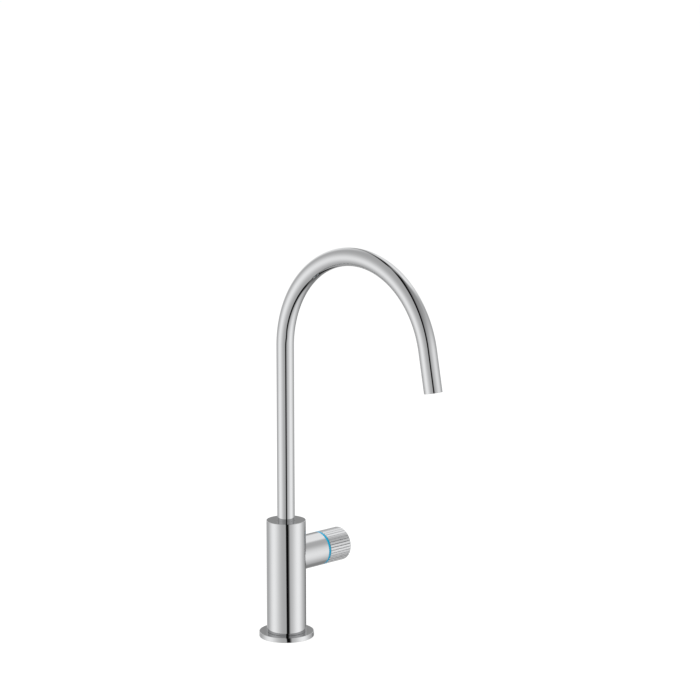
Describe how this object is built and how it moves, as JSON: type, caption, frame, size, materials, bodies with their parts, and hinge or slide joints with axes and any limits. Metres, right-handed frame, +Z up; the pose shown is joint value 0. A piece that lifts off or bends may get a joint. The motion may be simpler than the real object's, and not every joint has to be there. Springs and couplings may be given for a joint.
{
  "type": "filtered water kitchen tap",
  "caption": "Slim upright kitchen tap for filtered water: round body on a base flange, swivelling gooseneck spout and a fluted side knob that turns a quarter.",
  "frame": {"origin": "centre of the base's underside, on the worktop's surface", "axes": "+Z up, +X from the body towards the knob, -Y from the body towards the spout's outlet at rest"},
  "size_m": [0.0935, 0.214, 0.423],
  "materials": {
    "chrome": "polished chrome plate",
    "blue_plastic": "glossy coloured plastic",
    "brass": "machined",
    "ceramic": "lapped",
    "rubber": "matt",
    "white_plastic": "moulded",
    "steel": "zinc plated"
  },
  "bodies": {
    "base": {"base_flange": "chrome", "base_seal": "rubber", "body": "chrome", "inlet_strainer": "steel", "valve_neck": "chrome", "indicator_ring": "blue_plastic", "seat_seal": "rubber", "fixed_disc": "ceramic", "headwork_housing": "brass", "housing_o_ring": "rubber", "spindle_glide_washer": "white_plastic", "spout_thrust_washer": "white_plastic", "spout_lock_screw": "steel", "fixing_stud": "steel", "clamp_pad": "rubber", "clamp_plate": "steel", "fixing_nut": "brass"},
    "knob_group": {"moving_disc": "ceramic", "spindle": "brass", "spindle_o_rings": "rubber", "spindle_circlip": "steel", "stop_washer": "brass", "spline_adapter": "white_plastic", "knob": "chrome", "knob_grub_screw": "steel"},
    "spout_group": {"spout_tube": "chrome", "spout_foot": "brass", "spout_o_rings": "rubber", "spout_glide_ring": "white_plastic", "outlet_insert": "white_plastic", "outlet_o_ring": "rubber", "flow_straightener": "white_plastic"}
  },
  "joints": [
    {"name": "knob_turn", "type": "hinge", "parent": "base", "child": "knob_group", "pos_m": [0.0555, 0, 0.0744], "axis": [1, 0, 0], "range_deg": [0, 90]},
    {"name": "spout_swivel", "type": "hinge", "parent": "base", "child": "spout_group", "pos_m": [0, 0, 0.1], "axis": [0, 0, 1], "continuous": true}
  ]
}
